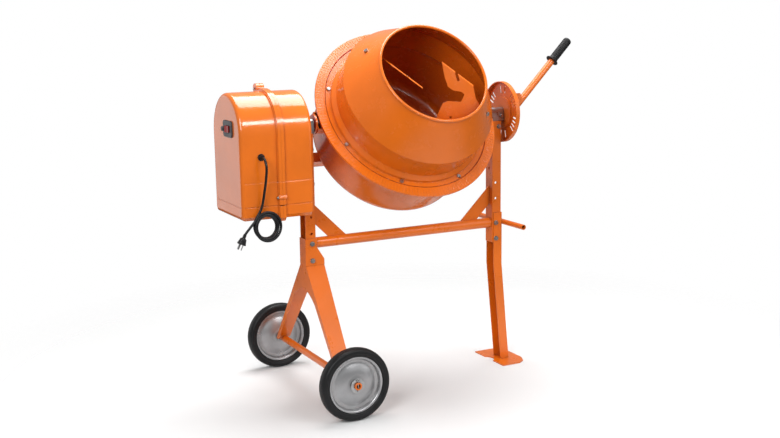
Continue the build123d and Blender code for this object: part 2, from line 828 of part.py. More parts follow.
with BuildPart() as drive_belt:
    for grow, mode in ((1.5, Mode.ADD), (-6.7, Mode.SUBTRACT)):
        with BuildSketch(Plane.YZ.offset(belt_x)):
            with Locations((0, pivot_z)):
                Circle(large_pulley_radius + grow)
            with Locations((0, motor_z)):
                Circle(small_pulley_radius + grow)
            make_hull()
        extrude(amount=5, both=True, mode=mode)
keep("drive_belt", drive_belt)

guard_outer = 36.0
guard_inner = 32.5
with BuildPart() as pinion_guard:
    with BuildSketch(Plane(origin=(mid_x - arm_in, 0, pivot_z), x_dir=drum_plane.y_dir,
                           z_dir=(1, 0, 0))):
        Circle(guard_outer)
        with Locations((0, 30)):
            Rectangle(100, 60, mode=Mode.SUBTRACT)
        with Locations((0, 8)):
            Rectangle(2 * guard_outer, 20)
    extrude(amount=40)
    with BuildSketch(Plane(origin=(mid_x - arm_in + 3, 0, pivot_z), x_dir=drum_plane.y_dir,
                           z_dir=(1, 0, 0))):
        Circle(guard_inner)
        with Locations((0, 15)):
            Rectangle(2 * guard_inner, 30)
    extrude(amount=34, mode=Mode.SUBTRACT)
    with BuildSketch(Plane.YZ.offset(mid_x - arm_in - 1)):
        with Locations((0, pivot_z)):
            Circle(12)
    extrude(amount=6, mode=Mode.SUBTRACT)
keep("pinion_guard", pinion_guard)

# ---------------------------------------------------------------- motor housing
arch_z = housing_top - housing_half
plate_half = 55.0


def housing_outline(grow):
    """Upright box with a round top, grown outwards on every side."""
    half = housing_half + grow
    with BuildSketch(Plane.XY, mode=Mode.PRIVATE) as outline:
        with BuildLine():
            walls = Polyline(
                (half, arch_z), (half, housing_bottom - grow + 12),
                (half - 12, housing_bottom - grow), (12 - half, housing_bottom - grow),
                (-half, housing_bottom - grow + 12), (-half, arch_z),
            )
            ThreePointArc(walls @ 1, (0, arch_z + half), walls @ 0)
        make_face()
    return outline.sketch


lug_sites = ((46, 1092), (-141, 742), (141, 742), (141, 930))
lug_radii = (18.0, 7.5, 7.5, 7.5)
edge_round = 14.0         # rounding of the housing's end edges


def cover(start, end):
    """Half of the motor housing from its end face at start to the seam at end."""
    inward = 1 if end > start else -1
    with BuildPart() as hollow:
        with BuildSketch(Plane.YZ.offset(start + inward * wall)):
            add(housing_outline(-wall))
        extrude(amount=end - start - inward * wall)
        fillet(hollow.faces().sort_by(Axis.X)[0 if inward > 0 else -1].edges(), edge_round - wall)
    with BuildPart() as half_cover:
        with BuildSketch(Plane.YZ.offset(start)):
            add(housing_outline(0))
        extrude(amount=end - start)
        fillet(half_cover.faces().sort_by(Axis.X)[0 if inward > 0 else -1].edges(), edge_round)
        with BuildSketch(Plane.YZ.offset(end)):
            add(housing_outline(9))
        extrude(amount=-inward * 11)
        with BuildSketch(Plane.YZ.offset(end)):
            add(housing_outline(5))
        extrude(amount=-inward * 14)
        with BuildSketch(Plane.YZ.offset(end)):
            for site, radius in zip(lug_sites, lug_radii):
                with Locations(site):
                    Circle(radius)
        extrude(amount=-inward * 14)
        add(hollow.part, mode=Mode.SUBTRACT)
        with BuildSketch(Plane.YZ.offset(end)):
            with Locations(lug_sites):
                Circle(2.6)
        extrude(amount=-inward * 20, mode=Mode.SUBTRACT)
        with BuildSketch(Plane.XY.offset(714)):
            with Locations(((start + end) / 2, 0)):
                Rectangle(abs(end - start), 2 * housing_half + 20)
            with Locations(((start + end) / 2 + inward * 20, 0)):
                Rectangle(abs(end - start) + 37.6, 2 * housing_half - 2.4, mode=Mode.SUBTRACT)
        extrude(amount=3, mode=Mode.SUBTRACT)
    return half_cover


gland_x = mid_x - 602.5
gland_z = 880.5
outer_half = cover(housing_out, housing_seam - 0.1)
with BuildPart() as outer_shell:
    add(outer_half.part)
    with BuildSketch(Plane.XZ.offset(housing_half - 8)):
        with Locations((gland_x, gland_z)):
            Circle(8)
    extrude(amount=12, mode=Mode.SUBTRACT)
keep("outer_cover", outer_shell)

inner_half = cover(housing_in, housing_seam + 0.1)
with BuildPart() as inner_shell:
    add(inner_half.part)
    with BuildSketch(Plane.YZ.offset(housing_in - 8)):
        with Locations((0, pivot_z)):
            Circle(22)
        with Locations([(0, z) for z in housing_bolt_heights]):
            Circle(housing_bolt_hole)
    extrude(amount=12, mode=Mode.SUBTRACT)
keep("inner_cover", inner_shell)

with BuildPart() as cover_screws:
    with BuildSketch(Plane.YZ.offset(housing_seam - 20)):
        with Locations(lug_sites):
            Circle(2.4)
    extrude(amount=32)
    with BuildSketch(Plane.YZ.offset(housing_seam - 14.1)):
        with Locations(lug_sites):
            Circle(5)
    extrude(amount=-3.2)
keep("cover_screws", cover_screws)

mounting_face = mid_x - 404.5     # pressed plate between the left post and the housing
mounting_z = 865.0
mounting_height = 300.0
with BuildPart() as mounting_plate:
    with BuildSketch(Plane.YZ.offset(mounting_face)):
        with Locations((0, mounting_z)):
            RectangleRounded(2 * plate_half, mounting_height, 12)
    extrude(amount=-11)
    with BuildSketch(Plane.YZ.offset(mounting_face - 4)):
        with Locations((0, mounting_z)):
            RectangleRounded(2 * plate_half - 8, mounting_height - 8, 8)
    extrude(amount=-11, mode=Mode.SUBTRACT)
    with BuildSketch(Plane.YZ.offset(mounting_face)):
        with Locations([(0, z) for z in housing_bolt_heights]):
            Circle(housing_bolt_hole)
        with Locations((0, pivot_z)):
            Circle(20)
    extrude(amount=-12, mode=Mode.SUBTRACT)
keep("mounting_plate", mounting_plate)

shelf_z = 690.0
shelf_flange_top = 905.0
with BuildPart() as motor_shelf:
    with BuildSketch(Plane.XY.offset(shelf_z)):
        with Locations((mid_x - 534.5, 0)):
            Rectangle(232, 2 * plate_half)
    extrude(amount=4)
    with BuildSketch(Plane.YZ.offset(mid_x - 418.5)):
        with Locations((0, (shelf_z + shelf_flange_top) / 2)):
            Rectangle(2 * plate_half, shelf_flange_top - shelf_z)
        with Locations([(0, z) for z in housing_bolt_heights]):
            Circle(housing_bolt_hole, mode=Mode.SUBTRACT)
    extrude(amount=-4)
keep("motor_shelf", motor_shelf)

motor_radius = 68.0
motor_end = mid_x - 652.0
motor_length = 150.0
with BuildPart() as motor:
    with BuildSketch(Plane.YZ.offset(motor_end)):
        with Locations((0, motor_z)):
            Circle(motor_radius)
    extrude(amount=motor_length)
    with BuildSketch(Plane.YZ.offset(motor_end + motor_length)):
        with Locations((0, motor_z)):
            Circle(30)
    extrude(amount=20)
    with BuildSketch(Plane.XY.offset(shelf_z + 4)):
        with Locations((mid_x - 600, 0), (mid_x - 530, 0)):
            Rectangle(24, 90)
    extrude(amount=30)
    with BuildSketch(Plane.YZ.offset(motor_end + motor_length + 20)):
        with Locations((0, motor_z)):
            Circle(motor_shaft_radius + running)
    extrude(amount=-60, mode=Mode.SUBTRACT)
keep("motor", motor)

with BuildPart() as cord_gland:
    with BuildSketch(Plane.XZ.offset(housing_half - 14)):
        with Locations((gland_x, gland_z)):
            Circle(8)
    extrude(amount=14)
    with BuildSketch(Plane.XZ.offset(housing_half)):
        with Locations((gland_x, gland_z)):
            Circle(11.5)
    extrude(amount=3.5)
    with BuildSketch(Plane.XZ.offset(housing_half + 3)):
        with Locations((gland_x, gland_z)):
            Circle(9)
    extrude(amount=8, taper=18)
keep("cord_gland", cord_gland)

# ---------------------------------------------------------------- switch
switch_y = -27.5
switch_z = 969.5
plate_depth = 5.0
rocker_y = -36.0
button_y = -5.0
rocker_height = 3.0       # from the housing's end face to the rocker's pin
rocker_pin_radius = 1.2
rocker_pin_half = 13.0
end_plane = Plane(origin=(housing_out, 0, 0), x_dir=(0, -1, 0), z_dir=(-1, 0, 0))

with BuildPart() as switch_plate:
    with BuildSketch(end_plane):
        with Locations((-switch_y, switch_z)):
            RectangleRounded(84, 55, 12)
    extrude(amount=plate_depth)
    fillet(switch_plate.faces().sort_by(Axis.X)[0].edges(), 2)
    with BuildSketch(end_plane.offset(0.3)):
        with Locations((-rocker_y, switch_z)):
            Rectangle(31, 23.4)
    extrude(amount=8, mode=Mode.SUBTRACT)
    with BuildSketch(end_plane.offset(1.5)):
        with Locations((-button_y, switch_z)):
            Circle(8.6)
    extrude(amount=8, mode=Mode.SUBTRACT)
    with BuildSketch(Plane.XY.offset(switch_z)):
        with Locations((housing_out - rocker_height, rocker_y)):
            Circle(rocker_pin_radius + running)
    extrude(amount=rocker_pin_half + 0.5, both=True, mode=Mode.SUBTRACT)
keep("switch_plate", switch_plate)

rocker_lean = 6.0
rocker_plane = Plane(origin=(housing_out - rocker_height, rocker_y, switch_z),
                     x_dir=(0, -1, 0), z_dir=(0, 0, -1))
with BuildPart() as power_rocker:
    with BuildSketch(rocker_plane.rotated((0, 0, rocker_lean))):
        Polygon((-13, -0.9), (13, -0.9), (14, 8.5), (0, 6.5), (-14, 8.5), align=None)
    extrude(amount=11, both=True)
    with BuildSketch(rocker_plane):
        Circle(rocker_pin_radius)
    extrude(amount=rocker_pin_half, both=True)
keep("power_rocker", power_rocker)

with BuildPart() as reset_button:
    with BuildSketch(end_plane.offset(4.6)):
        with Locations((-button_y, switch_z)):
            Circle(8)
    extrude(amount=12)
    fillet(reset_button.faces().sort_by(Axis.X)[0].edges(), 2)
keep("reset_button", reset_button)

# ---------------------------------------------------------------- tilt lever
lever_pin_x = mid_x + 463.0
lever_pin_z = 960.0
lever_pin_radius = 6.0
lever_start = Vector(mid_x + 478, 0, 973.5)
lever_dir = Vector(0.70, 0, 0.714).normalized()
lever_plane = Plane(origin=lever_start, x_dir=(0, 1, 0), z_dir=lever_dir)
lever_tube_radius = 12.5
lever_tube_length = 312.0
grip_from = 245.0
grip_length = 111.0
cheek_gap = 17.0

with BuildPart() as lever_bracket:
    with BuildSketch(side_plane(0)):
        Polygon(
            (mid_x + 433.5, 945), (mid_x + 468, 945), (mid_x + 479.5, 977),
            (mid_x + 508.5, 1003), (mid_x + 492.5, 1034), (mid_x + 433.5, 1034), align=None,
        )
        with Locations((lever_pin_x, lever_pin_z)):
            Circle(lever_pin_radius, mode=Mode.SUBTRACT)
    extrude(amount=cheek_gap + 3, both=True)
    with BuildSketch(side_plane(0)):
        with Locations((mid_x + 500, 990)):
            Rectangle(126, 200)
    extrude(amount=cheek_gap, both=True, mode=Mode.SUBTRACT)
    with BuildSketch(side_plane(0)):
        with Locations((mid_x + 435, 1043)):
            Rectangle(8, 46)
    extrude(amount=cheek_gap, both=True, mode=Mode.SUBTRACT)
keep("lever_bracket", lever_bracket)

with BuildPart() as lever_pin:
    with BuildSketch(side_plane(0)):
        with Locations((lever_pin_x, lever_pin_z)):
            Circle(lever_pin_radius)
    extrude(amount=25, both=True)
    for side in (-1, 1):
        with BuildSketch(side_plane(side * 20)):
            with Locations((lever_pin_x, lever_pin_z)):
                Circle(9)
        extrude(amount=-side * 3)
keep("lever_pin", lever_pin)

with BuildPart() as tilt_lever:
    with BuildSketch(lever_plane):
        Circle(lever_tube_radius)
        Circle(lever_tube_radius - 2.5, mode=Mode.SUBTRACT)
    extrude(amount=lever_tube_length)
    with BuildSketch(side_plane(0)):
        with BuildLine():
            FilletPolyline((lever_pin_x - 13, 947), (lever_pin_x + 9, 947),
                           (lever_pin_x + 40, 984), (lever_pin_x + 16, 991),
                           (lever_pin_x - 13, 966), close=True, radius=7)
        make_face()
    extrude(amount=10, both=True)
    with BuildSketch(side_plane(0)):
        with Locations((lever_pin_x, lever_pin_z)):
            Circle(lever_pin_radius + running)
    extrude(amount=30, both=True, mode=Mode.SUBTRACT)
keep("tilt_lever", tilt_lever)

prong_x = disc_x + 1.0
with BuildPart() as latch_fork:
    with BuildSketch(across_x(prong_x + 14)):
        for angle in (90 - slot_pitch / 2, 90 + slot_pitch / 2):
            with Locations(polar(86.5, angle)):
                Rectangle(15, 3, rotation=angle)
    extrude(amount=14)
    with BuildSketch(side_plane(0)):
        Polygon((prong_x + 10, 1041), (prong_x + 10, 1058), (prong_x + 14, 1058),
                (prong_x + 14, 1041), align=None)
    extrude(amount=20, both=True)
    with BuildSketch(side_plane(0)):
        Polygon((prong_x + 10, 1042), (prong_x + 10, 1056), (prong_x + 24, 1056),
                (mid_x + 503.0, 1016.2), (mid_x + 483.4, 996.2), align=None)
    extrude(amount=3, both=True)
keep("latch_fork", latch_fork)

with BuildPart() as lever_spring:
    for side in (-1, 1):
        with BuildSketch(side_plane(side * 10.6)):
            with Locations((lever_pin_x, lever_pin_z)):
                Circle(9.5)
                Circle(7, mode=Mode.SUBTRACT)
        extrude(amount=-side * 6)
keep("lever_spring", lever_spring)

with BuildPart() as lever_grip:
    with BuildSketch(lever_plane.offset(grip_from)):
        Circle(16.5)
    extrude(amount=grip_length)
    fillet(lever_grip.faces().sort_by(Axis(lever_start, lever_dir))[-1].edges(), 9)
    with BuildSketch(lever_plane.offset(grip_from)):
        Circle(25)
    extrude(amount=5)
    with BuildSketch(lever_plane.offset(grip_from)):
        Circle(lever_tube_radius)
    extrude(amount=lever_tube_length - grip_from, mode=Mode.SUBTRACT)
keep("lever_grip", lever_grip)

# ---------------------------------------------------------------- mains cord, coil and plug
gland_tip = -(housing_half + 11)
cord_route = [
    (gland_x, gland_tip, gland_z),
    (gland_x, -158, 879.5),
    (gland_x + 0.5, -167, 871),
    (gland_x + 1, -169, 857),
    (gland_x + 1.5, -165, 832),
    (gland_x - 1, -159.5, 798),
    (gland_x - 6.5, -155.5, 758),
    (gland_x - 15, -155, 706),
]
coil_x = mid_x - 597.0
coil_z = 653.0
coil_y = -155.0
tail_route = [
    (coil_x - 45, coil_y, 674),
    (coil_x - 57.5, coil_y, 663),
    (coil_x - 69, coil_y, 651),
    (coil_x - 78, coil_y, 632),
]


def corner_radii(route):
    """As large an arc at each corner as its two straight runs allow."""
    points = [Vector(*place) for place in route]
    radii = []
    for before, corner, after in zip(points, points[1:], points[2:]):
        shorter = min((corner - before).length, (after - corner).length)
        turn = radians((corner - before).get_angle(after - corner))
        radii.append(0.45 * shorter / tan(turn / 2))
    return radii


def cord_tube(route):
    with BuildPart() as tube:
        with BuildLine() as line:
            FilletPolyline(*route, radius=corner_radii(route))
        with BuildSketch(Plane(origin=line.wire() @ 0, z_dir=line.wire() % 0)):
            Circle(cord_diameter / 2)
        sweep(path=line.wire())
    length = line.wire().length
    section = pi * cord_diameter ** 2 / 4
    print("length", round(length, 1), "volume ratio", round(tube.part.volume / (length * section), 4))
    return tube


keep("cord_run", cord_tube(cord_route))
keep("cord_tail", cord_tube(tail_route))

with BuildPart() as cord_coil:
    with BuildSketch(side_plane(coil_y)):
        with Locations((coil_x, coil_z)):
            Ellipse(53, 58)
            Ellipse(28, 34, mode=Mode.SUBTRACT)
    extrude(amount=9.5, both=True)
    fillet(cord_coil.edges().filter_by(GeomType.ELLIPSE), 4)
keep("cord_coil", cord_coil)

plug_dir = Vector(-0.43, 0, -0.90).normalized()
plug_plane = Plane(origin=Vector(*tail_route[-1]) - plug_dir * 2, x_dir=(0, 1, 0), z_dir=plug_dir)
with BuildPart() as plug:
    with BuildSketch(plug_plane):
        Circle(7)
    with BuildSketch(plug_plane.offset(14)):
        RectangleRounded(24, 28, 7)
    loft()
    with BuildSketch(plug_plane.offset(14)):
        RectangleRounded(24, 28, 7)
    extrude(amount=22)
    with BuildSketch(plug_plane.offset(36)):
        with Locations((0, 7), (0, -7)):
            Rectangle(6.5, 1.6)
        with Locations((8, 0)):
            Circle(2.4)
    extrude(amount=19)
keep("plug", plug)


# ---------------------------------------------------------------- export
for name, piece in finished.items():
    piece.part.label = name
    export_step(piece.part, f"parts/{name}.step")
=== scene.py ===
"""Looks of a portable concrete mixer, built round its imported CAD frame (metres)."""
import json
import math

import bmesh
import bpy
from mathutils import Matrix, Vector


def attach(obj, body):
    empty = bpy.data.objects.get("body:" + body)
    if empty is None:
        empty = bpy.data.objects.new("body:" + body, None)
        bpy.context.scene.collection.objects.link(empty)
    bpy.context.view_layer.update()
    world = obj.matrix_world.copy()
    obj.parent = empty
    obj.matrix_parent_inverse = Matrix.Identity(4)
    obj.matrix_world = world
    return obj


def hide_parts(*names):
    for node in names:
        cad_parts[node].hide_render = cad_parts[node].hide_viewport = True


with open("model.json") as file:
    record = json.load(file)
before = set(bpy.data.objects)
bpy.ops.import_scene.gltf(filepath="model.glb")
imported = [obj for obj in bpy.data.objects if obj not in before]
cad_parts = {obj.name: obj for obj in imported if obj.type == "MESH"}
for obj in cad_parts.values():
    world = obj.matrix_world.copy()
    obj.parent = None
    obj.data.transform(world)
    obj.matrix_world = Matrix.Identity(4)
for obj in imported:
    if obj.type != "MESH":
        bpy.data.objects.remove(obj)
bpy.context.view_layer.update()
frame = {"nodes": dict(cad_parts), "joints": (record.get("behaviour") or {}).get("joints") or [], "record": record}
nodes = frame["nodes"]

# ---------------------------------------------------------------- shared places
def joint_named(name):
    return next(joint for joint in frame["joints"] if joint["name"] == name)


PIVOT = Vector(joint_named("tilt")["pos_m"])
DRUM_DIR = Vector(joint_named("drum_spin")["axis"])
MID_X = PIVOT.x
ALONG_X = Vector((1, 0, 0))
ALONG_Y = Vector((0, 1, 0))
FULL_TURN = 2 * math.pi


# ---------------------------------------------------------------- camera
CAMERA_PLACE = Vector((MID_X - 1.9021, -3.5543, 1.3445))
CAMERA_HEADING = math.radians(27.398)     # from +Y towards +X
CAMERA_DROP = math.radians(10.530)        # below the horizon
CAMERA_ROLL = math.radians(-0.824)
SENSOR_WIDTH = 36
FRAME_WIDTHS_AWAY = 1116.66 / 780         # focal length over the width of the frame


def make_camera():
    """A camera at the same height, heading and distance as the reference view."""
    sideways, ahead = math.sin(CAMERA_HEADING), math.cos(CAMERA_HEADING)
    flat = math.cos(CAMERA_DROP)
    forward = Vector((sideways * flat, ahead * flat, -math.sin(CAMERA_DROP)))
    level = Vector((ahead, -sideways, 0))
    upright = level.cross(forward)
    right = level * math.cos(CAMERA_ROLL) + upright * math.sin(CAMERA_ROLL)
    up = upright * math.cos(CAMERA_ROLL) - level * math.sin(CAMERA_ROLL)
    data = bpy.data.cameras.new("camera")
    data.sensor_width = SENSOR_WIDTH
    data.lens = FRAME_WIDTHS_AWAY * SENSOR_WIDTH
    data.clip_end = 60
    camera = bpy.data.objects.new("camera", data)
    turn = Matrix((right, up, -forward)).transposed().to_4x4()
    camera.matrix_world = Matrix.Translation(CAMERA_PLACE) @ turn
    bpy.context.scene.collection.objects.link(camera)
    bpy.context.scene.camera = camera


make_camera()


# ---------------------------------------------------------------- mains cord
CORD_DIAMETER = 0.0085
GLAND = Vector((MID_X - 0.6025, -0.146, 0.8805))
COIL = Vector((MID_X - 0.597, -0.155, 0.653))
COIL_TURNS = 4
INWARD_TURNS = 2          # the first turns go inwards, the others back out in front of them
COIL_FIRST = math.radians(131)
COIL_LAST = math.radians(140) + COIL_TURNS * FULL_TURN
COIL_OUTER = 0.0455
COIL_INNER = 0.0343
COIL_GROWTH = 0.0072      # how much wider each outward turn is
COIL_TALLER = 0.0030      # the coil hangs a little taller than it is wide
COIL_SAG = 0.0006         # how much lower each turn hangs than the one before
COIL_UNEVEN = 0.0016      # how far the turns wander in and out
COIL_SHIFT = 0.0008       # how far they wander sideways
POINTS_PER_TURN = 16
LAYER_GAP = 0.0047        # from the coil's middle plane to the middle of either layer

# Control points from the gland, and from the coil's centre as (x, z).
RUN_ROUTE = (
    (0, 0, 0), (0, -0.0050, 0), (0.0002, -0.0130, -0.0010), (0.0004, -0.0205, -0.0045),
    (0.0006, -0.0268, -0.0100), (0.0007, -0.0312, -0.0172), (0.0008, -0.0335, -0.0252),
    (0.0010, -0.0338, -0.0350), (0.0012, -0.0310, -0.0510), (0.0010, -0.0215, -0.0820),
    (-0.0020, -0.0105, -0.1225), (-0.0060, -0.0060, -0.1520), (-0.0130, -0.0048, -0.1735),
)
TAIL_ROUTE = (
    (-0.0465, 0.0170), (-0.0560, 0.0065), (-0.0650, -0.0045), (-0.0722, -0.0125), (-0.078, -0.021),
)


def coil_points():
    """Loose turns wound in two layers: inwards behind, then outwards in front."""
    points = []
    count = COIL_TURNS * POINTS_PER_TURN
    for step in range(count + 1):
        share = step / count
        angle = COIL_FIRST + (COIL_LAST - COIL_FIRST) * share
        turn = share * COIL_TURNS
        if turn < INWARD_TURNS:
            reach = COIL_OUTER - (COIL_OUTER - COIL_INNER) * turn / INWARD_TURNS
        else:
            reach = COIL_INNER + COIL_GROWTH * (turn - INWARD_TURNS)
        reach += COIL_UNEVEN * math.sin(angle * 0.77 + 1.3)
        # It steps over to the front layer within half a turn.
        blend = min(1.0, max(0.0, (turn - INWARD_TURNS) * 2 + 0.5))
        points.append(COIL + Vector((
            reach * math.cos(angle) + COIL_SHIFT * math.sin(2.1 * turn),
            LAYER_GAP * (1 - 2 * blend),
            (reach + COIL_TALLER) * math.sin(angle) - COIL_SAG * turn,
        )))
    return points


def curve_through(name, points, radius):
    """A smooth NURBS curve with the points as its control points, which carry its radius."""
    data = bpy.data.curves.new(name, "CURVE")
    data.dimensions = "3D"
    spline = data.splines.new("NURBS")
    spline.points.add(len(points) - 1)
    for control, point in zip(spline.points, points):
        control.co = (*point, 1)
        control.radius = radius
    spline.order_u = 3
    spline.use_endpoint_u = True
    spline.resolution_u = 10
    data.bevel_depth = 1
    data.bevel_resolution = 5
    data.use_fill_caps = True
    piece = bpy.data.objects.new(name, data)
    bpy.context.scene.collection.objects.link(piece)
    return piece


def make_cord():
    route = [GLAND + Vector(offset) for offset in RUN_ROUTE]
    route += coil_points()
    last = len(TAIL_ROUTE) - 1
    route += [COIL + Vector((x, -LAYER_GAP * (1 - step / last), z))
              for step, (x, z) in enumerate(TAIL_ROUTE)]
    return curve_through("mains_cord", route, CORD_DIAMETER / 2)


mains_cord = make_cord()
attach(mains_cord, "stand")
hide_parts("cord_run", "cord_coil", "cord_tail")


# ---------------------------------------------------------------- node materials
def new_material(name, roughness, metallic=0.0):
    """A material with its tree, its shader and object coordinates in metres."""
    material = bpy.data.materials.new(name)
    material.use_nodes = True
    tree = material.node_tree
    shader = tree.nodes["Principled BSDF"]
    shader.inputs["Roughness"].default_value = roughness
    shader.inputs["Metallic"].default_value = metallic
    where = tree.nodes.new("ShaderNodeTexCoord").outputs["Object"]
    return material, tree, shader, where


def noise(tree, where, scale, detail, rough=0.5, stretch=None):
    """Noise of the given number of cells in a metre; stretch scales each axis."""
    if stretch:
        mapping = tree.nodes.new("ShaderNodeMapping")
        mapping.inputs["Scale"].default_value = stretch
        tree.links.new(where, mapping.inputs["Vector"])
        where = mapping.outputs["Vector"]
    node = tree.nodes.new("ShaderNodeTexNoise")
    node.inputs["Scale"].default_value = scale
    node.inputs["Detail"].default_value = detail
    node.inputs["Roughness"].default_value = rough
    tree.links.new(where, node.inputs["Vector"])
    return node.outputs["Fac"]


def remap(tree, value, low, high, to_low, to_high):
    node = tree.nodes.new("ShaderNodeMapRange")
    node.inputs["From Min"].default_value = low
    node.inputs["From Max"].default_value = high
    node.inputs["To Min"].default_value = to_low
    node.inputs["To Max"].default_value = to_high
    tree.links.new(value, node.inputs["Value"])
    return node.outputs["Result"]


def mix_colour(tree, share, first, second):
    """Mixes two colours; each is a tuple or another node's output."""
    node = tree.nodes.new("ShaderNodeMix")
    node.data_type = "RGBA"
    tree.links.new(share, node.inputs[0])
    for socket, colour in ((node.inputs[6], first), (node.inputs[7], second)):
        if isinstance(colour, tuple):
            socket.default_value = (*colour, 1)
        else:
            tree.links.new(colour, socket)
    return node.outputs[2]


def multiply(tree, first, second):
    node = tree.nodes.new("ShaderNodeMath")
    node.operation = "MULTIPLY"
    tree.links.new(first, node.inputs[0])
    tree.links.new(second, node.inputs[1])
    return node.outputs[0]


def crevice(tree, distance, closed=0.35, open_from=0.95):
    """1 in corners and gaps, 0 on open surfaces."""
    node = tree.nodes.new("ShaderNodeAmbientOcclusion")
    node.samples = 6
    node.inputs["Distance"].default_value = distance
    return remap(tree, node.outputs["AO"], closed, open_from, 1.0, 0.0)


def edge_share(tree, radius):
    """1 along outer edges, fading to 0 about a radius away from them."""
    bevel = tree.nodes.new("ShaderNodeBevel")
    bevel.samples = 4
    bevel.inputs["Radius"].default_value = radius
    geometry = tree.nodes.new("ShaderNodeNewGeometry")
    dot = tree.nodes.new("ShaderNodeVectorMath")
    dot.operation = "DOT_PRODUCT"
    tree.links.new(bevel.outputs["Normal"], dot.inputs[0])
    tree.links.new(geometry.outputs["Normal"], dot.inputs[1])
    return remap(tree, dot.outputs["Value"], 0.97, 0.75, 0.0, 1.0)


def surface(tree, shader, heights, rounding=0.0):
    """Chains bumps of (height output, strength, depth in metres) over rounded edges."""
    normal = None
    if rounding:
        bevel = tree.nodes.new("ShaderNodeBevel")
        bevel.samples = 4
        bevel.inputs["Radius"].default_value = rounding
        normal = bevel.outputs["Normal"]
    for height, strength, depth in heights:
        bump = tree.nodes.new("ShaderNodeBump")
        bump.inputs["Strength"].default_value = strength
        bump.inputs["Distance"].default_value = depth
        tree.links.new(height, bump.inputs["Height"])
        if normal:
            tree.links.new(normal, bump.inputs["Normal"])
        normal = bump.outputs["Normal"]
    tree.links.new(normal, shader.inputs["Normal"])


CREASE_Z = 0.7945
CREASE_HALF = 0.002
CREASE_END = (MID_X - 0.668, MID_X - 0.660)           # it fades out at the housing's end
PANEL_EDGE = (MID_X - 0.519, MID_X - 0.517)
PANEL_TOP = (CREASE_Z - 0.0015, CREASE_Z - 0.004)


def crease_height(tree, where):
    """Faint pressed lines of the housing: a level crease and a proud lower panel."""
    split = tree.nodes.new("ShaderNodeSeparateXYZ")
    tree.links.new(where, split.inputs[0])
    level = split.outputs["Z"]
    crease = remap(tree, level, CREASE_Z - CREASE_HALF, CREASE_Z, 0.0, 1.0)
    crease_end = remap(tree, level, CREASE_Z, CREASE_Z + CREASE_HALF, 1.0, 0.0)
    off_the_end = remap(tree, split.outputs["X"], *CREASE_END, 0.0, 0.7)
    line = multiply(tree, multiply(tree, crease, crease_end), off_the_end)
    inner = remap(tree, split.outputs["X"], *PANEL_EDGE, 0.0, 1.0)
    below = remap(tree, level, *PANEL_TOP, 0.0, 1.0)
    panel = multiply(tree, below, inner)
    total = tree.nodes.new("ShaderNodeMath")
    total.operation = "SUBTRACT"
    tree.links.new(panel, total.inputs[0])
    tree.links.new(line, total.inputs[1])
    return total.outputs[0]


# The first two colours are dust and painted shade in corners; the third is bare steel at worn edges.
DUST_AND_SHADE = (0.16, 0.075, 0.035)
DARK_DUST_AND_SHADE = (0.09, 0.075, 0.06)
WORN_STEEL = (0.22, 0.17, 0.14)


def enamel(name, colour, roughness, coat, wear=0.5, peel=260.0, rounding=0.0012,
           creases=False, dust_and_shade_share=0.6, shade=None):
    """Sprayed gloss enamel: orange peel, faint clouding, dust and painted shade in corners, worn edges.

    shade is a painted shade: the colour mixed in deep inside a hollow piece.
    """
    material, tree, shader, where = new_material(name, roughness)
    shader.inputs["Coat Weight"].default_value = coat
    shader.inputs["Coat Roughness"].default_value = 0.07
    clouds = noise(tree, where, 5.0, 4.0)
    grain = noise(tree, where, 900.0, 2.0)
    deep = tuple(c * 0.86 for c in colour)
    tone = mix_colour(tree, remap(tree, clouds, 0.35, 0.65, 0.0, 1.0), deep, colour)
    # Corners take dust in patches, darkened there too as painted shade.
    patches = remap(tree, noise(tree, where, 45.0, 5.0), 0.3, 0.7, 0.05, dust_and_shade_share)
    tone = mix_colour(tree, multiply(tree, crevice(tree, 0.018), patches), tone, DUST_AND_SHADE)
    # Painted shade: deep inside a hollow piece the colour turns to the shade colour.
    if shade:
        tone = mix_colour(tree, crevice(tree, 0.45, 0.20, 0.48), tone, shade)
    chips = noise(tree, where, 240.0, 6.0, 0.7)
    worn = multiply(tree, edge_share(tree, 0.0011), remap(tree, chips, 0.62, 0.70, 0.0, wear))
    tone = mix_colour(tree, worn, tone, WORN_STEEL)
    tree.links.new(tone, shader.inputs["Base Color"])
    smears = noise(tree, where, 22.0, 5.0, 0.6)
    tree.links.new(remap(tree, smears, 0.3, 0.7, roughness - 0.05, roughness + 0.09),
                   shader.inputs["Roughness"])
    heights = [(noise(tree, where, peel, 1.0), 0.10, 0.0006), (grain, 0.03, 0.0002)]
    if creases:
        heights.append((crease_height(tree, where), 0.7, 0.0012))
    surface(tree, shader, heights, rounding)
    return material


def silver_enamel(name, colour, roughness):
    """Aluminium paint on pressed steel: metal flake, soft clouding, dust and painted shade in the rings."""
    material, tree, shader, where = new_material(name, roughness, 0.85)
    shader.inputs["Coat Weight"].default_value = 0.3
    shader.inputs["Coat Roughness"].default_value = 0.15
    flake = noise(tree, where, 1500.0, 2.0, 0.7)
    clouds = noise(tree, where, 16.0, 4.0)
    tone = mix_colour(tree, remap(tree, flake, 0.35, 0.65, 0.0, 1.0),
                      tuple(c * 0.78 for c in colour), colour)
    tone = mix_colour(tree, remap(tree, clouds, 0.45, 0.7, 0.0, 0.35), tone,
                      tuple(c * 0.6 for c in colour))
    # The rings and corners take dust in patches, with painted shade there.
    patches = remap(tree, noise(tree, where, 60.0, 4.0), 0.3, 0.7, 0.2, 0.8)
    tone = mix_colour(tree, multiply(tree, crevice(tree, 0.02), patches), tone, DARK_DUST_AND_SHADE)
    tree.links.new(tone, shader.inputs["Base Color"])
    tree.links.new(remap(tree, clouds, 0.3, 0.7, roughness - 0.04, roughness + 0.12),
                   shader.inputs["Roughness"])
    surface(tree, shader, ((noise(tree, where, 35.0, 2.0), 0.05, 0.0008), (flake, 0.04, 0.0002)))
    return material


